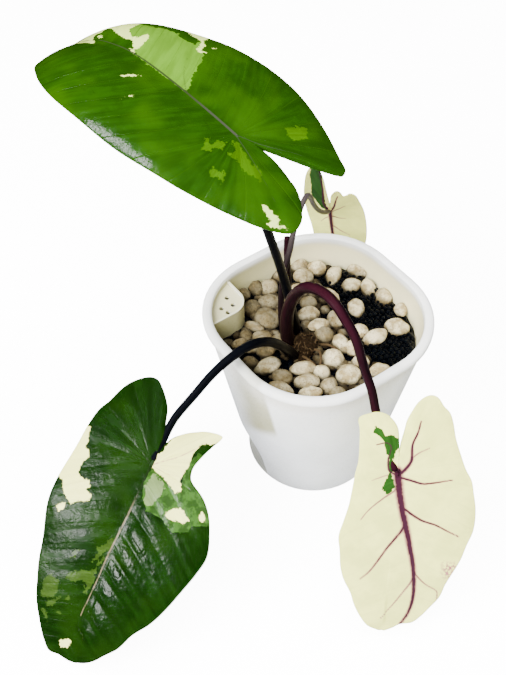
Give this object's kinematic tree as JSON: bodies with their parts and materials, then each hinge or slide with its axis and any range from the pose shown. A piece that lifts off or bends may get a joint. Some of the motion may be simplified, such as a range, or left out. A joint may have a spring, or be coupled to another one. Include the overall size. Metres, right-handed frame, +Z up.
{
  "type": "potted black stem alocasia",
  "caption": "Potted aroid house plant with long dark stalks and hanging arrow-shaped blades, green and cream, in a translucent rounded-square pot of black granules topped with pumice.",
  "frame": {"origin": "centre of the pot's underside, on the surface it stands on", "axes": "+Z up, -Y towards the viewer of the reference picture, +X to that viewer's right"},
  "size_m": [0.2186, 0.2269, 0.2503],
  "materials": {
    "pot_plastic": "translucent white, smooth and slightly glossy",
    "granule": "glossy black",
    "pumice": "dry, pitted",
    "rootstock": "fibrous brown husk",
    "black_stalk": "near black with a soft sheen",
    "maroon_stalk": "dark maroon with a crimson sheen",
    "bright_green_blade": "glossy bright green with apple green and cream sectors",
    "dark_green_blade": "glossy dark green with cream sectors",
    "cream_blade": "satin cream with mauve veins and a green fleck"
  },
  "bodies": {
    "root": {"pot": "pot_plastic", "black_granules": "granule", "pumice_stones": "pumice", "corm": "rootstock", "petiole_top": "black_stalk", "petiole_left": "black_stalk", "petiole_right": "maroon_stalk", "petiole_back": "maroon_stalk", "sheath_stub": "maroon_stalk", "blade_top": "bright_green_blade", "blade_left": "dark_green_blade", "blade_right": "cream_blade", "blade_back": "cream_blade"}
  },
  "joints": []
}
